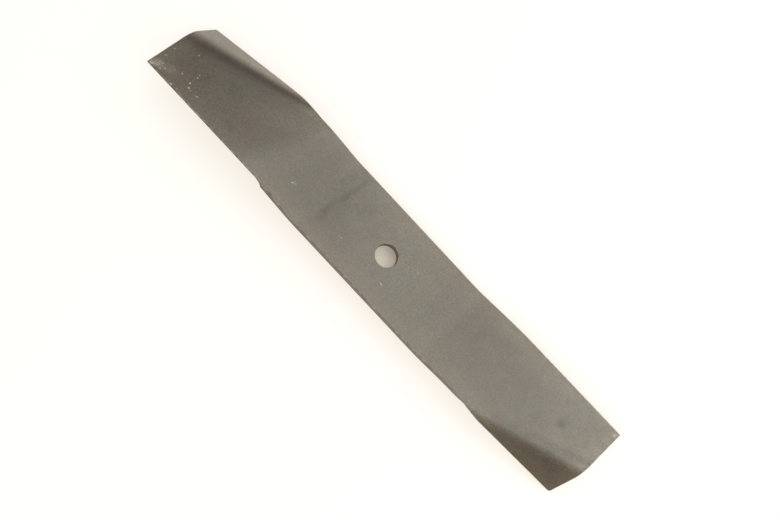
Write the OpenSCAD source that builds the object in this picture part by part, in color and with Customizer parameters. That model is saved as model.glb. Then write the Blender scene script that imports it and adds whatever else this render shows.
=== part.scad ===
/* [Bar] */
// Length of the flat bar before forming, tip to tip
bar_length = 399; // [360:1:520]
// Width of the bar
bar_width = 63.5; // [50:0.5:76]
// Thickness of the bar
bar_thickness = 6.35; // [4:0.05:8]
// Slant of the end cuts, which leaves the cutting tips the longer corners
end_slant = 3; // [0:0.5:8]

/* [Hub] */
// Bore for the spindle bolt
bore_diameter = 16.3; // [10:0.1:26]
// Size of the broken edge at both mouths of the bore
bore_break = 0.5; // [0.2:0.1:1]
// Length of the flat hub between the two offset bends
hub_length = 111; // [70:1:140]

/* [Offset] */
// Angle of the first bend, which raises the end above the hub
offset_angle = 10.1; // [8:0.1:12]
// Length of bar taken by the first bend
offset_run = 13.4; // [6:0.1:24]
// Angle of the second bend, which levels the end again
level_angle = 9.7; // [8:0.1:12]
// Length of bar taken by the second bend
level_run = 16.6; // [6:0.1:24]
// Straight web between the two bends along the trailing edge
web_trailing = 6.3; // [2:0.1:20]
// Straight web between the two bends along the cutting edge, longer so that the end is pitched
web_cutting = 28.7; // [6:0.1:40]

/* [Sail] */
// Angle of the bent-down sail
sail_angle = 42.4; // [34:0.2:56]
// Flat stretch of trailing edge between the offset and the sail bend
sail_gap = 4.6; // [2:0.1:14]
// Length of trailing edge taken by the sail bend
sail_fan = 16.2; // [6:0.1:30]
// Height on the end cut, from the trailing corner, at which the sail bend starts
sail_reach = 38.6; // [30:0.1:46]
// Length of the end cut taken by the sail bend
sail_bend = 18.1; // [8:0.1:24]
// Size of the broken corner at the sail's point
corner_break = 1.5; // [0.5:0.1:4]

/* [Cutting edge] */
// Distance along the cutting edge from the start of the second bend to the full depth of the bevel
bevel_inset = 0.9; // [0:0.1:40]
// Angle between the bevel and the face of the bar
bevel_angle = 30; // [20:1:45]
// Thickness left standing at the cutting edge
edge_land = 1.5; // [1:0.1:2.5]
// Radius of the round run-out at the inner end of the bevel
bevel_runout = 7; // [3:0.1:10]

/* [Hidden] */
// Facets in each bend, and the overshoot of every cutting tool
bend_steps = 12;
over = 2;
$fn = 96;

half_length = bar_length / 2;
half_width = bar_width / 2;
half_thick = bar_thickness / 2;
hub_end = hub_length / 2;
web_start = hub_end + offset_run;
sail_start = web_start + web_trailing + level_run + sail_gap;
bevel_start = web_start + web_cutting + bevel_inset;
bevel_length = half_length - bevel_start;

// Points of the flat bar's outline: x from the bore to the tip, y from the axis to the cutting edge
function trailing(x) = [x, -half_width];
function cutting(x) = [x, half_width];
function end_cut(y) = [half_length - (half_width - y) * tan(end_slant), y];
function sail_point(inset) = end_cut(inset - half_width);

// Middle of each of the equal steps into which a bend is divided, from 0 to 1
steps = [for (k = [0.5 : bend_steps]) k / bend_steps];

// Fold lines of one end, from the hub to the sail's point. Each has its two ends on the outline of
// the flat bar and the angle by which what lies beyond it turns down, away from the cutting face.
folds = concat(
    [for (t = steps)
        [trailing(hub_end + offset_run * t), cutting(hub_end + offset_run * t), -offset_angle / bend_steps]],
    [for (t = steps)
        [trailing(web_start + web_trailing + level_run * t),
         cutting(web_start + web_cutting + level_run * t),
         level_angle / bend_steps]],
    [[trailing(sail_start - sail_gap / 2), cutting(half_length), 0]],
    [for (t = steps)
        [trailing(sail_start + sail_fan * t),
         sail_point(sail_reach - sail_bend * t),
         sail_angle / bend_steps]],
    [[sail_point(0) - [corner_break, 0], sail_point(corner_break), 0]]
);
tip_fold = 2 * bend_steps;

// Rigid moves as 4 by 4 matrices
function moved(p) = [[1, 0, 0, p.x], [0, 1, 0, p.y], [0, 0, 1, 0], [0, 0, 0, 1]];
function turned_x(a) = [[1, 0, 0, 0], [0, cos(a), -sin(a), 0], [0, sin(a), cos(a), 0], [0, 0, 0, 1]];
function turned_z(a) = [[cos(a), -sin(a), 0, 0], [sin(a), cos(a), 0, 0], [0, 0, 1, 0], [0, 0, 0, 1]];
function fold_about(a, b, angle) =
    let (line = atan2(b.y - a.y, b.x - a.x))
    moved(a) * turned_z(line) * turned_x(angle) * turned_z(-line) * moved(-a);

// Place of each fold line after all the folds before it and half of its own
function folded(i = 0, before = moved([0, 0])) =
    i == len(folds) ? [] :
    let (f = folds[i])
    concat(
        [before * fold_about(f[0], f[1], f[2] / 2)],
        folded(i + 1, before * fold_about(f[0], f[1], f[2])));
places = folded();

// Section of the formed bar along a fold line: its ends on the cutting face and on the deck face
function formed(place, p, height) =
    let (q = place * [p.x, p.y, height, 1])
    [q.x, q.y, q.z];
function section(i) =
    let (f = folds[i], rise = half_thick / cos(f[2] / 2))
    [formed(places[i], f[0], rise), formed(places[i], f[0], -rise),
     formed(places[i], f[1], -rise), formed(places[i], f[1], rise)];

// Sections of the whole blade from end to end. The second end is the first turned half round the bore.
end_sections = [for (i = [0 : len(folds) - 1]) section(i)];
function half_round(s) = [for (k = [3, 2, 1, 0]) [-s[k].x, -s[k].y, s[k].z]];
last = len(folds) - 1;
sections = concat([for (i = [last : -1 : 0]) half_round(end_sections[i])], end_sections);
points = [for (s = sections) each s];

// Pose in which the blade lies: on the points of both sails, tipped over until a third point touches
feet = end_sections[last];
foot = feet[1].z < feet[2].z ? feet[1] : feet[2];
lie_axis = [foot.x, foot.y, 0] / norm([foot.x, foot.y]);
function beside(p) = lie_axis.x * p.y - lie_axis.y * p.x;
lie_angle = min([for (p = points) if (beside(p) > half_width / 2) atan2(p.z - foot.z, beside(p))]);

// Skin over a row of four-cornered sections, closed at both ends
module skin(rings) {
    count = len(rings);
    quads = concat(
        [for (i = [0 : count - 2], k = [0 : 3])
            [4 * i + k, 4 * (i + 1) + k, 4 * (i + 1) + (k + 1) % 4, 4 * i + (k + 1) % 4]],
        [[0, 1, 2, 3], [for (k = [1 : 4]) 4 * count - k]]);
    polyhedron([for (r = rings) each r], [for (q = quads) each [[q[0], q[1], q[2]], [q[0], q[2], q[3]]]]);
}

// Drill for the bore, with a cone that breaks the edge of each mouth
module bore_tool() {
    cylinder(d = bore_diameter, h = bar_thickness + 2 * over, center = true);
    for (side = [0, 1])
        mirror([0, 0, side])
            translate([0, 0, half_thick - bore_break - over])
                cylinder(
                    d1 = bore_diameter - 2 * over,
                    d2 = bore_diameter + 2 * bore_break + 2 * over,
                    h = bore_break + 2 * over);
}

// Grinding tool for the bevel of one end, placed on the formed end. It removes the deck side of the edge
// and leaves a round run-out where it is lifted off.
module bevel_tool() {
    depth = 1.5 * bar_thickness;
    width = depth / tan(bevel_angle);
    sweep = bevel_length + over;
    multmatrix(places[tip_fold])
        translate([bevel_start, half_width, half_thick - edge_land])
            intersection() {
                translate([-bevel_runout - over, 0, 0])
                    rotate([90, 0, 90])
                        linear_extrude(sweep + bevel_runout + over)
                            polygon([[over, over * tan(bevel_angle)], [-width, -depth], [over, -depth]]);
                rotate([90, 0, 0])
                    linear_extrude(2 * bar_width, center = true)
                        union() {
                            translate([0, -bevel_runout])
                                circle(r = bevel_runout);
                            translate([0, -depth - over])
                                square([sweep, depth + 2 * over]);
                            translate([-bevel_runout, -depth - bevel_runout])
                                square([bevel_runout + over, depth]);
                        }
            }
}

module blade() {
    color("#5f5a52")
        rotate(a = -lie_angle, v = lie_axis)
            difference() {
                skin(sections);
                bore_tool();
                for (turn = [0, 180])
                    rotate([0, 0, turn])
                        bevel_tool();
            }
}

blade();
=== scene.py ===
"""Looks of a rotary mower blade.

It is a formed steel bar in worn satin paint, and lies cutting face up on a pale floor.
"""

import math

import bmesh
import bpy
import numpy as np
from mathutils import Matrix, Vector, kdtree


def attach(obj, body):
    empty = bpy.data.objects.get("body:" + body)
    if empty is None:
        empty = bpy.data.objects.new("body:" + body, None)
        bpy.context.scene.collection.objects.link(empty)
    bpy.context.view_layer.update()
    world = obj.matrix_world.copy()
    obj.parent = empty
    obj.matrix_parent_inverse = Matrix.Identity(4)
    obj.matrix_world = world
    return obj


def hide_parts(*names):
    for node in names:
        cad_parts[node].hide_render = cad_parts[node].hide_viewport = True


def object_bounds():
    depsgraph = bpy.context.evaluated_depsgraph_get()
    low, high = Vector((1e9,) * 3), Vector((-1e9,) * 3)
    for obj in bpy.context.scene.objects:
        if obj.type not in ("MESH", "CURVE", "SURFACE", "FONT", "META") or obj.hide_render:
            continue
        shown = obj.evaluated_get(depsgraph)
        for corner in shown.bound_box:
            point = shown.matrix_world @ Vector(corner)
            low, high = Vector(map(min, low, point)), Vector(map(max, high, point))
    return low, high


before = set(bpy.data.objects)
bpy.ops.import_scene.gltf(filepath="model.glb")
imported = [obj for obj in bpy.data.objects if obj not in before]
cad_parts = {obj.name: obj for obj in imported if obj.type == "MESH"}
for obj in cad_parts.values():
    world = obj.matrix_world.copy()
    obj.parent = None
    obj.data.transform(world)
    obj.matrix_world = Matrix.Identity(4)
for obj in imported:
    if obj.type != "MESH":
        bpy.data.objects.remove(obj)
cad_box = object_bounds()

MM = 0.001

# Formed bar, in millimetres and degrees: the sizes of the solid that the piece stands for, with its bends
# eased over a longer run
HALF_LENGTH = 199.45
HALF_WIDTH = 31.75
HALF_THICK = 3.175
END_SLANT = 3
BORE_RADIUS = 8.15
BORE_BREAK = 0.5
HUB_END = 54
OFFSET_ANGLE = 10.1
OFFSET_RUN = 16.4
WEB_TRAILING = 0.8
WEB_CUTTING = 17.5
LEVEL_ANGLE = 9.7
LEVEL_TRAILING = 24.6
LEVEL_CUTTING = 36
SAIL_ANGLE = 42.4
SAIL_GAP = 0.6
SAIL_FAN = 28
SAIL_REACH = 39.8
SAIL_BEND = 21.5
CORNER_BREAK = 1.5
BEVEL_START = 98.5
BEVEL_ANGLE = 30
EDGE_LAND = 1.5
BEVEL_RUNOUT = 7

WEB_START = HUB_END + OFFSET_RUN
SAIL_START = WEB_START + WEB_TRAILING + LEVEL_TRAILING + SAIL_GAP

# Turn in degrees, about a line in the plane of the hub, with which the blade comes to lie on the floor
LIE_ANGLE = 17.1256
LIE_AXIS = (0.993527, -0.113598, 0)
LIE_TURN = np.array(Matrix.Rotation(math.radians(-LIE_ANGLE), 3, Vector(LIE_AXIS)))

# Fineness of the mesh: fold lines in each bend, the share of a bend over which it comes on,
# lines across the flat stretches, the rolled edges, and the cutting tools
OFFSET_STEPS = 24
SAIL_STEPS = 40
BEND_EASE = 0.3
HUB_STEPS = 8
WEB_STEPS = 14
FLAT_STEPS = 16
GAP_STEPS = 8
POINT_STEPS = 14
EDGE_RADIUS = 0.45
EDGE_STEPS = 4
RUNOUT_STEPS = 10
BEVEL_STEPS = 11
OVERSHOOT = 2
BORE_FACETS = 96
# Shares of the width of a face at which it has points
ACROSS = (0, 0.02, 0.05, 0.1, 0.2, 0.3, 0.4, 0.5, 0.6, 0.7, 0.8, 0.9, 0.95, 0.98, 1)
# Profile of the bore's mouth in shares of its broken edge: out from the wall, and up from the face
BORE_LIP = ((0, -1), (0.12, -0.4), (0.4, -0.12), (1.2, 0.1), (2, 1))
# Degrees below which an edge is smooth, and metres below which an edge has no size
SMOOTH_BELOW = 26
SLIVER = 1e-6
# Millimetres within which two reckoned places are the same, and two points of the mesh
EXACT = 1e-6
SAME_POINT = 0.01

# Colours, linear: the paint in its two tones, a smudge that also serves as painted shade, a scuff that
# also serves as painted highlight, a chip, the sheared sides, and the ground edge under paint
PAINT_BROWN = (0.087, 0.0608, 0.0455)
PAINT_GREEN = (0.0745, 0.0625, 0.0445)
SMUDGE_AND_SHADE = (0.018, 0.014, 0.01)
SCUFF_AND_HIGHLIGHT = (0.24, 0.215, 0.185)
CHIP = (0.6, 0.55, 0.48)
SHEARED = (0.05, 0.038, 0.029)
GROUND_DARK = (0.09, 0.075, 0.062)
GROUND_PALE = (0.16, 0.138, 0.118)
PAINT_IOR = 1.9

# Noise in the paint: size in millimetres, detail, and a shift that sets one apart from the next
CLOUD = (16, 3, 0)
PATCH = (7, 4, 40)
GRAIN = (0.9, 2, 80)
SPECK = (0.35, 1, 120)
RUB = (3, 3, 160)
FLECKS = (1.1, 2, 200)
# Uneven outlines of smudges and painted shade, and of chips: size and reach in millimetres,
# and their noise's detail and mean
SMUDGE_AND_SHADE_RAGGED = (5, 4)
CHIP_RAGGED = (1.2, 1.8)
RAGGED_DETAIL = 2
NOISE_MEAN = 0.5
# Grinding scratches: noise per millimetre along, across and through the bar, so that they cross the edge
SCRATCH_SCALE = (1.6, 0.06, 0.06)
SCRATCH_DETAIL = 3
# Levels of noise between which a look comes on, and the least that stays of a mark where its noise is low
CLOUD_SPAN = (0.35, 0.65)
PATCH_SPAN = (0.25, 0.75)
GRAIN_SPAN = (0.2, 0.8)
RUB_SPAN = (0.42, 0.68)
SMUDGE_AND_SHADE_SPAN = (0.25, 0.65)
SCUFF_AND_HIGHLIGHT_SPAN = (0.38, 0.62)
CHIP_SPAN = (0.3, 0.5)
SMUDGE_AND_SHADE_LEAST = 0.7
SCUFF_AND_HIGHLIGHT_LEAST = 0.15
CHIP_LEAST = 0.45

# Tone of the paint: what patch and grain add, the level from the outline inwards and its width
# in millimetres, and the cover of the colours of sheared sides and rubbed corners
PATCH_TONE = (-0.05, 0.05)
GRAIN_TONE = (-0.48, 0.52)
RIM_TONE = (1.26, 0.9)
RIM_WIDTH = 17
SHEARED_COVER = 0.75
RUB_COVER = 0.45
# Millimetres over which a sheared side, a rubbed corner and a ground bevel fade into the paint,
# how far before its run-out a bevel comes on, and the depths below a face between which its corner does
SIDE_FADE = (0.1, 0.3)
CORNER_FADE = (0.1, 0.9)
BEVEL_FADE = (0.1, 0.3)
BEVEL_LEAD = 1
CORNER_DEPTH = (0.7, 0.25)

# Roughness of the paint and what each mark adds to it
ROUGHNESS = (0.36, 0.43)
WORN_ROUGHER = 0.12
SHEARED_ROUGHER = 0.25
SMUDGE_AND_SHADE_ROUGHER = 0.1
# Fine relief: the part of each look in it, and the strength of the bump and its height in metres
GRAIN_RELIEF = 0.6
SPECK_RELIEF = 0.25
CHIP_RELIEF = 0.8
SCRATCH_RELIEF = 1.5
BUMP_STRENGTH = 0.8
BUMP_HEIGHT = 0.00004

# Marks on the cutting face, in millimetres and degrees of the flat bar:
# place along, place across, half length, half width, turn, softness, strength
CHIPS = (
    (-195.0, -28.2, 4.4, 2.3, 35, 0.8, 0.34),
    (-187.5, -25.0, 5.0, 2.4, 25, 0.9, 0.1),
    (-196.8, -30.4, 2.0, 1.0, 30, 0.6, 0.7),
    (-194.2, -28.4, 0.9, 0.6, 15, 0.6, 0.6),
    (-190.6, -29.0, 0.7, 0.5, 0, 0.6, 0.7),
    (-188.6, -26.3, 0.6, 0.5, 30, 0.6, 0.7),
    (-192.3, -24.9, 0.8, 0.5, 60, 0.6, 0.35),
    (-184.2, -22.0, 0.7, 0.4, 0, 0.6, 0.35),
    (-179.2, -20.2, 0.6, 0.4, 0, 0.6, 0.7),
    (-178.3, -30.7, 0.8, 0.5, 0, 0.6, 0.8),
    (-173.7, -30.3, 0.6, 0.4, 0, 0.6, 0.5),
    (-171.0, -20.8, 0.55, 0.5, 0, 0.6, 1.0),
    (-169.3, -23.5, 0.6, 0.5, 45, 0.6, 1.0),
    (-167.0, -24.0, 0.5, 0.35, 0, 0.6, 0.6),
    (-161.5, -23.8, 1.0, 0.45, 20, 0.6, 0.8),
    (-170.9, -14.5, 0.6, 0.4, 0, 0.6, 0.7),
    (-171.2, -12.1, 0.5, 0.4, 0, 0.6, 0.7),
    (-181.9, -2.8, 0.5, 0.4, 0, 0.6, 0.5),
    (-195.2, -11.8, 0.9, 0.45, 80, 0.6, 0.35),
    (-195.2, -19.6, 0.9, 0.5, 60, 0.6, 0.35),
    (-79.3, -14.3, 0.9, 0.45, 50, 0.7, 0.45),
    (-77.0, -13.4, 0.7, 0.4, 75, 0.7, 0.35),
    (-78.4, -12.6, 0.6, 0.3, 20, 0.7, 0.25),
    (-29.7, -15.0, 0.55, 0.5, 0, 0.6, 0.9),
    (11.3, -16.6, 1.3, 0.5, -25, 0.6, 0.6),
    (23.0, 8.2, 1.4, 0.4, -25, 0.6, 0.35),
    (134.1, 21.0, 0.5, 0.4, 0, 0.6, 0.3),
    (153.4, 29.3, 0.5, 0.4, 0, 0.6, 0.3),
    (196.6, 28.6, 1.5, 1.2, 40, 0.6, 0.4),
)
# 18.6 and 10 degrees along the sail bends, and the dark lines where the hub meets its first bends.
# Dark spots. The broad soft ones on the hub, webs and flats are painted shade. So are the narrow ones
# turned
# The small ones are smudges.
SMUDGES_AND_PAINTED_SHADE = (
    (-72.0, 4.0, 30.0, 24.0, 0, 0.9, 0.2),
    (122.0, 2.0, 46.0, 24.0, 0, 0.9, 0.34),
    (-155.0, 13.0, 54.0, 5.5, 18.6, 0.9, 0.55),
    (-188.0, 6.0, 11.0, 6.0, 18.6, 0.9, 0.4),
    (150.0, -15.0, 42.0, 5.5, 18.6, 0.9, 0.4),
    (150.0, -22.0, 36.0, 7.0, 10, 0.9, 0.22),
    (172.0, 24.0, 24.0, 9.0, 0, 0.9, 0.26),
    (-38.0, 2.0, 26.0, 22.0, 0, 0.9, 0.24),
    (-49.5, -13.0, 3.6, 6.0, 10, 0.9, 0.8),
    (-50.0, -4.0, 2.4, 7.0, -6, 0.9, 0.9),
    (-48.5, 6.0, 2.2, 7.0, -6, 0.9, 0.85),
    (-46.8, 18.0, 2.0, 8.0, -6, 0.9, 0.65),
    (-44.0, -3.0, 6.5, 12.0, -6, 0.9, 0.36),
    (-34.4, 8.3, 4.0, 3.0, 0, 0.9, 0.4),
    (49.2, 1.3, 5.0, 10.0, 0, 0.9, 0.25),
    (163.9, 6.4, 3.2, 3.0, 0, 0.7, 0.95),
    (185.1, -4.2, 1.0, 0.8, 0, 0.7, 0.6),
    (-133.5, -20.5, 3.5, 3.0, 0, 0.9, 0.5),
    (-83.6, -31.6, 2.2, 1.0, 0, 0.7, 0.8),
    (93.6, -31.6, 1.6, 0.8, 0, 0.7, 0.6),
    (115.6, -30.4, 1.6, 0.8, 0, 0.7, 0.6),
)
# 18.6 degrees along the sail bends, and the strips along both end cuts. The ones at the chipped tip are
# scuffs,
# Pale spots. The broad soft ones on the hub and webs are painted highlights. So are the lines turned 17
# and
# and the rest are pale lines and specks.
SCUFFS_AND_PAINTED_HIGHLIGHTS = (
    (-195.5, -28.0, 5.0, 3.2, 35, 0.8, 0.75),
    (-187.0, -24.5, 7.0, 4.0, 20, 0.9, 0.2),
    (16.0, 10.0, 46.0, 28.0, 0, 0.9, 0.2),
    (-110.0, 13.0, 22.0, 7.0, 31, 0.9, 0.28),
    (171.0, -7.0, 15.0, 4.0, 17, 0.9, 0.18),
    (66.0, -14.0, 16.0, 12.0, 0, 0.9, 0.16),
    (101.0, 27.0, 13.0, 5.0, 0, 0.9, 0.25),
    (-105.0, 29.0, 10.0, 4.0, 10, 0.9, 0.5),
    (119.0, -29.0, 10.0, 4.0, 10, 0.9, 0.3),
    (189.0, -2.0, 9.0, 7.0, 18.6, 0.9, 0.22),
    (-198.0, -10.0, 8.0, 26.0, -3, 0.9, 0.2),
    (198.0, -4.0, 6.0, 28.0, -3, 0.9, 0.12),
    (-80.0, -28.4, 6.0, 0.8, 0, 0.8, 0.4),
    (91.0, 26.8, 7.0, 0.9, -12, 0.8, 0.35),
    (91.0, -6.9, 1.5, 0.7, 0, 0.8, 0.2),
    (68.0, 17.5, 1.2, 0.8, 0, 0.8, 0.25),
)

# Disk softboxes: name, bearing and distance from straight up in degrees, metres away, watts, colour
LAMP_WHITE = (1.0, 0.98, 0.86)
LAMP_AMBER = (1.0, 0.85, 0.62)
LAMPS = (
    ("top_lamp", 90, 25, 1.2, 1.65, LAMP_WHITE),
    ("top_left_lamp", 135, 25, 1.2, 1.5, LAMP_WHITE),
    ("right_lamp", 45, 50, 0.75, 1.16, LAMP_WHITE),
    ("right_high_lamp", 45, 25, 0.75, 0.37, LAMP_WHITE),
    ("low_right_lamp", 0, 50, 0.75, 0.94, LAMP_WHITE),
    ("low_right_high_lamp", 0, 25, 0.75, 0.69, LAMP_WHITE),
    ("far_lamp", 90, 50, 0.75, 0.82, LAMP_WHITE),
    ("near_lamp", 270, 50, 0.75, 1.68, LAMP_AMBER),
    ("near_right_lamp", 315, 50, 0.75, 0.22, LAMP_AMBER),
)
# Width of a lamp as a share of its distance, and strength of the room's light on surfaces and in gloss
LAMP_SPREAD = 0.4
ROOM_LIGHT = 0.03
ROOM_SHEEN = 0.2

# Floor: its reach in metres, and the paper's own colour and glow to the eye under the object, beside it
# and in the open. The share of open space within the glow distance, in metres, tells these apart. The
# glow under and beside the object is dimmer and warmer: a painted shadow.
FLOOR_REACH = 6
PLAIN_PAPER = (0.92, 0.87, 0.78)
UNDER_PAPER = (0.7, 0.7, 0.7)
OPEN_PAPER = (0.13, 0.14, 0.16)
UNDER_GLOW_PAINTED_SHADOW = (0.29, 0.255, 0.2)
NEAR_GLOW_PAINTED_SHADOW = (0.87, 0.81, 0.735)
OPEN_GLOW = (0.94, 0.93, 0.88)
MIRRORED_GLOW = (1.0, 0.95, 0.85)
GLOW_DISTANCE = 0.15
GLOW_SAMPLES = 16
BESIDE_SHARE = (0.34, 0.46)
OPEN_SHARE = (0.5, 1.0)

# Camera: metres, degrees and millimetres
CAMERA_PLACE = (0.00611, -0.01619, 0.61452)
CAMERA_TURN = (1.2343, -0.9877, 46.6576)
CAMERA_LENS = 41.79
CAMERA_SENSOR = 36


def trailing(x):
    """Point of the flat bar's trailing edge."""
    return np.array((x, -HALF_WIDTH))


def cutting(x):
    """Point of the flat bar's cutting edge."""
    return np.array((x, HALF_WIDTH))


def sail_point(inset):
    """Point on the end cut, that far from the trailing corner."""
    set_back = (2 * HALF_WIDTH - inset) * math.tan(math.radians(END_SLANT))
    return np.array((HALF_LENGTH - set_back, inset - HALF_WIDTH))


def fold_about(a, b, degrees):
    """Turn about the line from a to b in the flat bar, as a 4 by 4 matrix."""
    axis = Vector((b[0] - a[0], b[1] - a[1], 0)).normalized()
    there = Matrix.Translation((a[0], a[1], 0))
    return np.array(there @ Matrix.Rotation(math.radians(degrees), 4, axis) @ there.inverted())


def mixed(line_a, line_b, t):
    """Line that lies the share t of the way from one line to another."""
    return tuple(a + (b - a) * t for a, b in zip(line_a, line_b))


def bend(line_a, line_b, count, degrees):
    """Fold lines of one bend, which comes on and goes off gently."""
    middles = [(k + 0.5) / count for k in range(count)]
    shares = [min(1, t / BEND_EASE, (1 - t) / BEND_EASE) for t in middles]
    whole = sum(shares)
    return [mixed(line_a, line_b, t) + (degrees * share / whole,) for t, share in zip(middles, shares)]


def straight(line_a, line_b, count):
    """Lines across a flat stretch, with no fold."""
    return [mixed(line_a, line_b, k / count) + (0,) for k in range(count + 1)]


def lines_of_one_end():
    """Lines across the flat bar from the hub to the sail's point.

    Each is its trailing end, its far end and its fold in degrees.
    """
    hub = (trailing(HUB_END), cutting(HUB_END))
    web = (trailing(WEB_START), cutting(WEB_START))
    level = (trailing(WEB_START + WEB_TRAILING), cutting(WEB_START + WEB_CUTTING))
    flat = (trailing(SAIL_START - SAIL_GAP), cutting(WEB_START + WEB_CUTTING + LEVEL_CUTTING))
    tip = (trailing(SAIL_START - SAIL_GAP / 2), cutting(HALF_LENGTH))
    sail = (trailing(SAIL_START), sail_point(SAIL_REACH))
    fan = (trailing(SAIL_START + SAIL_FAN), sail_point(SAIL_REACH - SAIL_BEND))
    point = (sail_point(0) - np.array((CORNER_BREAK, 0)), sail_point(CORNER_BREAK))
    return (
        [hub + (0,)]
        + bend(hub, web, OFFSET_STEPS, -OFFSET_ANGLE)
        + straight(web, level, WEB_STEPS)
        + bend(level, flat, OFFSET_STEPS, LEVEL_ANGLE)
        + straight(flat, tip, FLAT_STEPS)
        + straight(tip, sail, GAP_STEPS)[1:]
        + bend(sail, fan, SAIL_STEPS, SAIL_ANGLE)
        + straight(fan, point, POINT_STEPS)
    )


def rolled_edge():
    """Points of a rolled edge, from the face to the side: inset and height."""
    points = []
    for k in range(1, EDGE_STEPS + 1):
        a = math.pi / 2 * k / EDGE_STEPS
        inset = EDGE_RADIUS * (1 - math.sin(a))
        height = HALF_THICK - EDGE_RADIUS * (1 - math.cos(a))
        points.append((inset, height))
    return points


def section(line):
    """Outline of the bar along a line, with rolled edges.

    Its points are places in the flat bar: along, across, height.
    """
    left, right = line[0], line[1]
    length = np.linalg.norm(right - left)
    way = (right - left) / length
    slant = math.radians(END_SLANT)
    on_cutting_edge = right[1] > HALF_WIDTH - EXACT
    on_end_cut = right[0] > sail_point(0)[0] - EXACT
    rates = []
    if on_cutting_edge:
        rates.append(way[1])
    if on_end_cut:
        rates.append(way[0] * math.cos(slant) - way[1] * math.sin(slant))
    left_rate = way[1]
    right_rate = min(rates)
    roll = rolled_edge()
    first = EDGE_RADIUS / left_rate
    last = length - EDGE_RADIUS / right_rate
    face = [first + (last - first) * t for t in ACROSS]
    right_roll = [(length - inset / right_rate, h) for inset, h in roll]
    left_roll = [(inset / left_rate, h) for inset, h in roll]
    sides = (
        [(s, HALF_THICK) for s in face],
        right_roll + [(s, -h) for s, h in reversed(right_roll)],
        [(s, -HALF_THICK) for s in reversed(face)],
        [(s, -h) for s, h in left_roll] + list(reversed(left_roll)),
    )
    return [[(*(left + way * s), h) for s, h in side] for side in sides]


def formed(place, points):
    """Points of the flat bar, moved by a 4 by 4 matrix."""
    p = np.array(points)
    return p @ place[:3, :3].T + place[:3, 3]


def turned_end(sides):
    """The same section of the other end, which is this one turned half round the bore."""
    top, right, bottom, left = [[(-x, -y, z) for x, y, z in reversed(s)] for s in sides]
    return [top, left, bottom, right]


def loft():
    """Flat and formed points of every section, end to end, and the place of the flat cutting end."""
    end_flat, end_formed = [], []
    place = np.eye(4)
    tip_place = None
    for line in lines_of_one_end():
        half = place @ fold_about(line[0], line[1], line[2] / 2)
        place = place @ fold_about(line[0], line[1], line[2])
        sides = section(line)
        end_flat.append(sides)
        end_formed.append([formed(half, s).tolist() for s in sides])
        if abs(line[1][0] - HALF_LENGTH) < EXACT:
            tip_place = place
    hub_places = np.linspace(-HUB_END, HUB_END, HUB_STEPS + 1)[1:-1]
    hub = [section((trailing(x), cutting(x), 0)) for x in hub_places]
    flat = [turned_end(s) for s in reversed(end_flat)] + hub + end_flat
    shaped = [turned_end(s) for s in reversed(end_formed)] + hub + end_formed
    flat = [[p for side in s for p in side] for s in flat]
    shaped = [[p for side in s for p in side] for s in shaped]
    return np.array(flat), np.array(shaped), tip_place


def laid(points):
    """Points of the hub's own frame, in millimetres, as they lie in the row frame, in metres."""
    return (np.asarray(points) @ LIE_TURN.T * MM).tolist()


def mesh_object(name, points, faces):
    mesh = bpy.data.meshes.new(name)
    mesh.from_pydata(points, [], faces)
    mesh.update()
    obj = bpy.data.objects.new(name, mesh)
    bpy.context.scene.collection.objects.link(obj)
    return obj


def skin(name, *rows):
    """One object of closed skins in the row frame.

    Each lies over a row of sections with equal numbers of points.
    """
    points, faces = [], []
    for rings in rows:
        around = len(rings[0])
        first = len(points)
        last = first + (len(rings) - 1) * around
        for near in range(first, last, around):
            far = near + around
            for j in range(around):
                k = (j + 1) % around
                faces.append((near + j, far + j, far + k, near + k))
        faces.append(tuple(range(first, first + around)))
        faces.append(tuple(reversed(range(last, last + around))))
        points += laid(np.concatenate(rings))
    return mesh_object(name, points, faces)


def bevel_rings(tip_place, turn):
    """Sections of the space that grinding takes from one cutting edge, with its round run-out."""
    depth = 3 * HALF_THICK
    slope = math.tan(math.radians(BEVEL_ANGLE))
    stations = []
    for k in range(RUNOUT_STEPS, 0, -1):
        a = math.pi / 2 * k / RUNOUT_STEPS
        stations.append((-BEVEL_RUNOUT * math.sin(a), -BEVEL_RUNOUT * (1 - math.cos(a))))
    sweep = HALF_LENGTH - BEVEL_START + OVERSHOOT
    stations += [(x, 0) for x in np.linspace(0, sweep, BEVEL_STEPS + 1)]
    rings = []
    for x, top in stations:
        ring = [(-depth / slope, -depth), (top / slope, top), (OVERSHOOT, top), (OVERSHOOT, -depth)]
        points = [(BEVEL_START + x, HALF_WIDTH + y, HALF_THICK - EDGE_LAND + z) for y, z in ring]
        rings.append(formed(tip_place, points) * np.array(turn))
    return rings


def bore_rings():
    """Sections of the drill for the bore, with a rounded mouth at both faces."""
    half = [(BORE_RADIUS + r * BORE_BREAK, HALF_THICK + z * BORE_BREAK) for r, z in BORE_LIP]
    profile = [(r, -z) for r, z in reversed(half)] + half
    angles = np.linspace(0, 2 * math.pi, BORE_FACETS, endpoint=False)
    level = np.ones(BORE_FACETS)
    return [np.stack([r * np.cos(angles), -r * np.sin(angles), z * level], -1) for r, z in profile]


def cut(obj, tool):
    """Takes the space of the tool out of the object, and removes the tool."""
    change = obj.modifiers.new("cut", "BOOLEAN")
    change.object = tool
    change.operation = "DIFFERENCE"
    change.solver = "EXACT"
    shaped = bpy.data.meshes.new_from_object(obj.evaluated_get(bpy.context.evaluated_depsgraph_get()))
    obj.modifiers.clear()
    drop_slivers(shaped)
    obj.data = shaped
    bpy.data.objects.remove(tool)


def drop_slivers(mesh):
    """Closes the edges and faces of no size that a cut can leave."""
    edit = bmesh.new()
    edit.from_mesh(mesh)
    bmesh.ops.dissolve_degenerate(edit, dist=SLIVER, edges=edit.edges[:])
    edit.to_mesh(mesh)
    edit.free()


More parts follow.
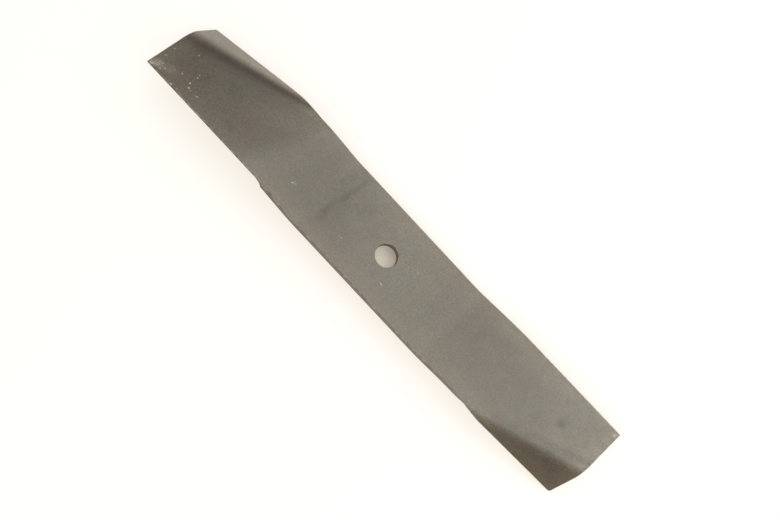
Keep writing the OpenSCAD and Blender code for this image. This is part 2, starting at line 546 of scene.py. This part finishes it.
def store_flat_places(obj, flat, shaped, tip_place):
    """Keeps on each vertex its place in the flat bar, in millimetres, for the paint to follow."""
    tree = kdtree.KDTree(len(shaped))
    for i, p in enumerate(shaped):
        tree.insert(Vector(p), i)
    tree.balance()
    back = np.linalg.inv(tip_place)
    places = []
    for vertex in obj.data.vertices:
        p = np.array(vertex.co) @ LIE_TURN / MM
        _, index, distance = tree.find(Vector(p))
        if distance < SAME_POINT:
            places.append(flat[index])
        elif abs(p[0]) < HUB_END:
            places.append(p)
        else:
            turn = np.array((1, 1, 1)) if p[0] > 0 else np.array((-1, -1, 1))
            places.append((back[:3, :3] @ (p * turn) + back[:3, 3]) * turn)
    layer = obj.data.attributes.new("flat_place", "FLOAT_VECTOR", "POINT")
    layer.data.foreach_set("vector", np.array(places, dtype=np.float32).ravel())


def make_blade():
    flat, shaped, tip_place = loft()
    blade = skin("formed_bar", shaped)
    ends = ((1, 1, 1), (-1, -1, 1))
    cut(blade, skin("cutters", bore_rings(), *(bevel_rings(tip_place, turn) for turn in ends)))
    store_flat_places(blade, flat.reshape(-1, 3), shaped.reshape(-1, 3), tip_place)
    blade.data.shade_smooth()
    blade.data.set_sharp_from_angle(angle=math.radians(SMOOTH_BELOW))
    even = blade.modifiers.new("even_normals", "WEIGHTED_NORMAL")
    even.keep_sharp = True
    return blade


class Tree:
    """Short way to write a node tree.

    Inputs are given by name or number, as a value or another node's output.
    """

    def __init__(self, owner):
        owner.use_nodes = True
        self.nodes = owner.node_tree.nodes
        self.links = owner.node_tree.links

    def add(self, kind, inputs, **settings):
        made = self.nodes.new("ShaderNode" + kind)
        for name, value in settings.items():
            setattr(made, name, value)
        for name, value in inputs.items():
            self.put(made.inputs[name], value)
        return made

    def put(self, socket, value):
        if isinstance(value, bpy.types.NodeSocket):
            self.links.new(value, socket)
        elif socket.type == "RGBA":
            socket.default_value = (*value, 1)
        else:
            socket.default_value = value

    def math(self, operation, a, b=0.0, c=0.0):
        return self.add("Math", {0: a, 1: b, 2: c}, operation=operation).outputs[0]

    def ease(self, value, low, high, at_low=0.0, at_high=1.0):
        """Smooth step of a value from low to high."""
        inputs = {0: value, 1: low, 2: high, 3: at_low, 4: at_high}
        return self.add("MapRange", inputs, interpolation_type="SMOOTHSTEP").outputs[0]

    def tint(self, amount, a, b):
        """Colour a turning into colour b."""
        return self.add("Mix", {0: amount, 6: a, 7: b}, data_type="RGBA").outputs[2]

    def noise(self, place, size, detail, shift):
        """Noise between 0 and 1 whose features are about that size, in the unit of the place."""
        moved = self.add("VectorMath", {0: place, 1: (shift, shift, shift)}, operation="ADD").outputs[0]
        return self.add("TexNoise", {"Vector": moved, "Scale": 1 / size, "Detail": detail}).outputs[0]

    def ragged(self, place, size, reach):
        """Place shifted about by noise, so that what is drawn there gets an uneven outline."""
        noise = {"Vector": place, "Scale": 1 / size, "Detail": RAGGED_DETAIL}
        wander = self.add("TexNoise", noise).outputs["Color"]
        mean = (NOISE_MEAN, NOISE_MEAN, NOISE_MEAN)
        shift = self.add("VectorMath", {0: wander, 1: mean}, operation="SUBTRACT").outputs[0]
        inputs = {0: shift, 1: (reach, reach, 0), 2: place}
        return self.add("VectorMath", inputs, operation="MULTIPLY_ADD").outputs[0]

    def spot(self, place, mark):
        """Soft oval on the cutting face, from 0 to its strength."""
        along, across, length, width, turn, softness, strength = mark
        seen = self.add(
            "Mapping",
            {
                "Vector": place,
                "Location": (along, across, HALF_THICK),
                "Rotation": (0, 0, math.radians(turn)),
                "Scale": (length, width, HALF_THICK),
            },
            vector_type="TEXTURE",
        ).outputs[0]
        out = self.add("VectorMath", {0: seen}, operation="LENGTH").outputs["Value"]
        return self.ease(out, 1 - softness, 1 + softness, strength, 0.0)

    def spots(self, place, marks):
        """The strongest of several spots at each place."""
        total = self.spot(place, marks[0])
        for mark in marks[1:]:
            total = self.math("MAXIMUM", total, self.spot(place, mark))
        return total


def paint():
    """Worn satin paint whose marks, painted shade and highlights among them, follow the flat bar, and the
    ground bevels under it.
    """
    material = bpy.data.materials.new("satin_grey_paint")
    tree = Tree(material)
    shader = tree.nodes["Principled BSDF"]
    place = tree.add("Attribute", {}, attribute_name="flat_place").outputs["Vector"]
    along, across, height = tree.add("SeparateXYZ", {0: place}).outputs
    patch = tree.noise(place, *PATCH)
    grain = tree.noise(place, *GRAIN)
    flecks = tree.noise(place, *FLECKS)
    inset = rim_inset(tree, along, across)
    wall_inset = tree.math("MINIMUM", inset, bore_inset(tree, place))

    # Dark spots: smudges, and painted shade along the bends and over broad stretches
    smudge_and_shade = tree.spots(tree.ragged(place, *SMUDGE_AND_SHADE_RAGGED), SMUDGES_AND_PAINTED_SHADE)
    smudge_and_shade = tree.math("MULTIPLY", smudge_and_shade, tree.ease(patch, *SMUDGE_AND_SHADE_SPAN, SMUDGE_AND_SHADE_LEAST))
    # Pale spots: scuffs, and painted highlights along the sail bends, on broad stretches and at the end
    # cuts
    scuff_and_highlight = tree.spots(place, SCUFFS_AND_PAINTED_HIGHLIGHTS)
    scuff_and_highlight = tree.math("MULTIPLY", scuff_and_highlight, tree.ease(flecks, *SCUFF_AND_HIGHLIGHT_SPAN, SCUFF_AND_HIGHLIGHT_LEAST))
    chip = tree.spots(tree.ragged(place, *CHIP_RAGGED), CHIPS)
    chip = tree.math("MULTIPLY", chip, tree.ease(flecks, *CHIP_SPAN, CHIP_LEAST))
    worn = tree.math("MAXIMUM", chip, corner_rub(tree, place, height, wall_inset))
    sheared = tree.ease(wall_inset, *SIDE_FADE, 1.0, 0.0)
    bevel = bevel_mask(tree, along, across, height)
    scratch = grinding_scratches(tree, place)

    colour = paint_tone(tree, place, patch, grain, inset)
    colour = tree.tint(smudge_and_shade, colour, SMUDGE_AND_SHADE)
    colour = tree.tint(scuff_and_highlight, colour, SCUFF_AND_HIGHLIGHT)
    colour = tree.tint(tree.math("MULTIPLY", sheared, SHEARED_COVER), colour, SHEARED)
    colour = tree.tint(worn, colour, CHIP)
    colour = tree.tint(bevel, colour, tree.tint(scratch, GROUND_DARK, GROUND_PALE))

    grooves = tree.math("MULTIPLY", scratch, bevel)
    tree.put(shader.inputs["Base Color"], colour)
    tree.put(shader.inputs["Roughness"], paint_roughness(tree, patch, worn, sheared, smudge_and_shade))
    tree.put(shader.inputs["Normal"], paint_bump(tree, place, grain, chip, grooves))
    shader.inputs["IOR"].default_value = PAINT_IOR
    return material


def paint_tone(tree, place, patch, grain, inset):
    """Colour of the sound paint: two tones in clouds, with grain, and lighter towards the outline."""
    cloud = tree.noise(place, *CLOUD)
    colour = tree.tint(tree.ease(cloud, *CLOUD_SPAN), PAINT_BROWN, PAINT_GREEN)
    shade = tree.ease(patch, *PATCH_SPAN, *PATCH_TONE)
    shade = tree.math("ADD", shade, tree.ease(grain, *GRAIN_SPAN, *GRAIN_TONE))
    shade = tree.math("ADD", shade, tree.ease(inset, 0.0, RIM_WIDTH, *RIM_TONE))
    return tree.add("VectorMath", {0: colour, 3: shade}, operation="SCALE").outputs[0]


def paint_roughness(tree, patch, worn, sheared, smudge_and_shade):
    """Roughness of the paint, higher where it is worn, sheared or smudged, and on the painted shade."""
    rough = tree.ease(patch, *PATCH_SPAN, *ROUGHNESS)
    rough = tree.math("MULTIPLY_ADD", worn, WORN_ROUGHER, rough)
    rough = tree.math("MULTIPLY_ADD", sheared, SHEARED_ROUGHER, rough)
    return tree.math("MULTIPLY_ADD", smudge_and_shade, SMUDGE_AND_SHADE_ROUGHER, rough)


def paint_bump(tree, place, grain, chip, grooves):
    """Fine relief: grain and specks of the paint, chips sunk into it, and grinding scratches."""
    height = tree.math("MULTIPLY", grain, GRAIN_RELIEF)
    height = tree.math("MULTIPLY_ADD", tree.noise(place, *SPECK), SPECK_RELIEF, height)
    height = tree.math("MULTIPLY_ADD", chip, -CHIP_RELIEF, height)
    height = tree.math("MULTIPLY_ADD", grooves, SCRATCH_RELIEF, height)
    inputs = {"Height": height, "Strength": BUMP_STRENGTH, "Distance": BUMP_HEIGHT}
    return tree.add("Bump", inputs).outputs[0]


def corner_rub(tree, place, height, wall_inset):
    """Paint rubbed off in places along the corners between the faces and the sides."""
    low, high = (HALF_THICK - depth for depth in CORNER_DEPTH)
    corner = tree.ease(tree.math("ABSOLUTE", height), low, high)
    edge = tree.math("MULTIPLY", corner, tree.ease(wall_inset, *CORNER_FADE, 1.0, 0.0))
    rubbed = tree.ease(tree.noise(place, *RUB), *RUB_SPAN, 0.0, RUB_COVER)
    return tree.math("MULTIPLY", edge, rubbed)


def grinding_scratches(tree, place):
    """Fine lines across the ground edge, from 0 to 1."""
    lines = tree.add("Mapping", {"Vector": place, "Scale": SCRATCH_SCALE}).outputs[0]
    return tree.add("TexNoise", {"Vector": lines, "Scale": 1.0, "Detail": SCRATCH_DETAIL}).outputs[0]


def rim_inset(tree, along, across):
    """Distance in from the outline of the flat bar."""
    ahead = tree.math("MULTIPLY", across, tree.math("SIGN", along))
    slant = math.tan(math.radians(END_SLANT))
    end = tree.math("MULTIPLY_ADD", ahead, slant, HALF_LENGTH - HALF_WIDTH * slant)
    from_end = tree.math("SUBTRACT", end, tree.math("ABSOLUTE", along))
    from_side = tree.math("SUBTRACT", HALF_WIDTH, tree.math("ABSOLUTE", across))
    return tree.math("MINIMUM", from_end, from_side)


def bore_inset(tree, place):
    """Distance out from the wall of the bore."""
    level = tree.add("VectorMath", {0: place, 1: (1, 1, 0)}, operation="MULTIPLY").outputs[0]
    radius = tree.add("VectorMath", {0: level}, operation="LENGTH").outputs["Value"]
    return tree.math("SUBTRACT", radius, BORE_RADIUS)


def bevel_mask(tree, along, across, height):
    """1 on the two ground bevels of the deck side and 0 elsewhere."""
    ahead = tree.math("MULTIPLY", across, tree.math("SIGN", along))
    depth = tree.math("SUBTRACT", HALF_WIDTH, ahead)
    slope = math.tan(math.radians(BEVEL_ANGLE))
    plane = tree.math("MULTIPLY_ADD", depth, -slope, HALF_THICK - EDGE_LAND)
    under = tree.ease(tree.math("SUBTRACT", height, plane), *BEVEL_FADE, 1.0, 0.0)
    inner_end = BEVEL_START - BEVEL_RUNOUT
    past = tree.ease(tree.math("ABSOLUTE", along), inner_end - BEVEL_LEAD, inner_end)
    return tree.math("MULTIPLY", under, past)


def ray_kinds(tree):
    """Two switches: rays from the camera, and these with the rays that show in gloss or glass."""
    path = tree.add("LightPath", {})
    camera = path.outputs["Is Camera Ray"]
    seen = tree.math("MAXIMUM", camera, path.outputs["Is Glossy Ray"])
    seen = tree.math("MAXIMUM", seen, path.outputs["Is Transmission Ray"])
    return camera, seen


def floor_paper():
    """White paper that takes the shadow, with a glow to the eye that fades close to the object as painted
    shadow.
    """
    material = bpy.data.materials.new("floor_paper")
    tree = Tree(material)
    tree.nodes.remove(tree.nodes["Principled BSDF"])
    sky = tree.add("AmbientOcclusion", {"Distance": GLOW_DISTANCE}, samples=GLOW_SAMPLES).outputs["AO"]
    beside = tree.ease(sky, *BESIDE_SHARE)
    camera, seen = ray_kinds(tree)
    shown = tree.tint(beside, UNDER_PAPER, OPEN_PAPER)
    colour = tree.tint(camera, PLAIN_PAPER, shown)
    paper = tree.add("BsdfDiffuse", {"Color": colour}).outputs[0]
    # Painted shadow: the glow is dimmer and warmer beside the object, and dimmer still under it
    glow_with_painted_shadow = tree.tint(tree.ease(sky, *OPEN_SHARE), NEAR_GLOW_PAINTED_SHADOW, OPEN_GLOW)
    glow_with_painted_shadow = tree.tint(camera, MIRRORED_GLOW, glow_with_painted_shadow)
    glow_with_painted_shadow = tree.tint(beside, UNDER_GLOW_PAINTED_SHADOW, glow_with_painted_shadow)
    glowing = tree.add("Emission", {"Color": glow_with_painted_shadow, "Strength": seen}).outputs[0]
    bright = tree.add("AddShader", {0: paper, 1: glowing}).outputs[0]
    tree.put(tree.nodes["Material Output"].inputs["Surface"], bright)
    return material


def make_floor(height):
    r = FLOOR_REACH
    corners = [(-r, -r, height), (r, -r, height), (r, r, height), (-r, r, height)]
    floor = mesh_object("floor", corners, [(0, 1, 2, 3)])
    floor.data.materials.append(floor_paper())


def softbox(name, bearing, lean, distance, power, colour):
    data = bpy.data.lights.new(name, "AREA")
    data.shape = "DISK"
    data.size = distance * LAMP_SPREAD
    data.energy = power
    data.color = colour
    lamp = bpy.data.objects.new(name, data)
    around = Matrix.Rotation(math.radians(bearing), 3, "Z")
    turn = around @ Matrix.Rotation(math.radians(lean), 3, "Y")
    lamp.location = turn @ Vector((0, 0, distance))
    lamp.rotation_euler = turn.to_euler()
    lamp.visible_camera = False
    bpy.context.scene.collection.objects.link(lamp)


def make_lights():
    for lamp in LAMPS:
        softbox(*lamp)
    world = bpy.data.worlds.new("studio")
    bpy.context.scene.world = world
    tree = Tree(world)
    camera, seen = ray_kinds(tree)
    level = tree.ease(seen, 0.0, 1.0, ROOM_LIGHT, ROOM_SHEEN)
    level = tree.math("MAXIMUM", level, camera)
    tree.put(tree.nodes["Background"].inputs["Color"], OPEN_GLOW)
    tree.put(tree.nodes["Background"].inputs["Strength"], level)


def make_camera():
    data = bpy.data.cameras.new("camera")
    data.sensor_width = CAMERA_SENSOR
    data.lens = CAMERA_LENS
    camera = bpy.data.objects.new("camera", data)
    camera.location = CAMERA_PLACE
    camera.rotation_euler = tuple(math.radians(a) for a in CAMERA_TURN)
    bpy.context.scene.collection.objects.link(camera)
    bpy.context.scene.camera = camera


blade = make_blade()
blade.data.materials.append(paint())
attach(blade, "root")
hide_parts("blade")

make_floor(cad_box[0][2])
make_lights()
make_camera()
bpy.context.scene.view_settings.view_transform = "Standard"
